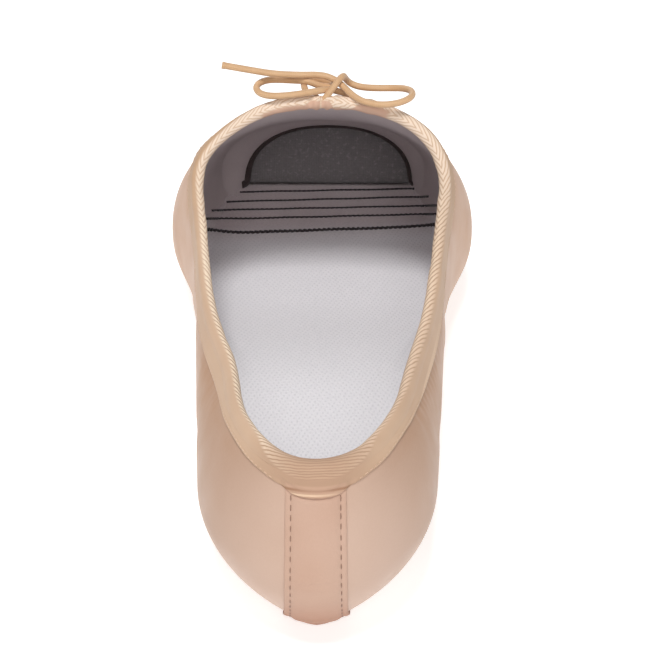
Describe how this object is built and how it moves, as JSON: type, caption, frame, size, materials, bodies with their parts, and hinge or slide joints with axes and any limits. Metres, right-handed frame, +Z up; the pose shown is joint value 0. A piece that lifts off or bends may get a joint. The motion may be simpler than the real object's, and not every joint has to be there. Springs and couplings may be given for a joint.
{
  "type": "pointe shoe",
  "caption": "Satin pointe shoe with a stiffened box and flat platform, drawstring collar tied in a bow at the throat, stitched back strip, leather outsole and padded toe.",
  "frame": {"origin": "on the floor under the middle of the shoe's length and width", "axes": "+Y towards the toe, +Z up from the sole, +X to the right as seen from behind the heel"},
  "size_m": [0.0872, 0.2405, 0.0797],
  "materials": {
    "sole_leather": "matte, buffed",
    "satin": "satin sheen",
    "binding_tape": "twill, soft sheen",
    "back_strip_fabric": "matte woven",
    "insole_fabric": "matte knit",
    "pad_fabric": "matte woven",
    "cord": "matte braided"
  },
  "bodies": {
    "root": {"outsole": "sole_leather", "upper": "satin", "binding": "binding_tape", "back_strip": "back_strip_fabric", "insole": "insole_fabric", "toe_pad": "pad_fabric", "bow_knot": "cord", "bow_loop_left": "cord", "bow_loop_right": "cord", "bow_end_upper": "cord", "bow_end_lower": "cord"}
  },
  "joints": []
}
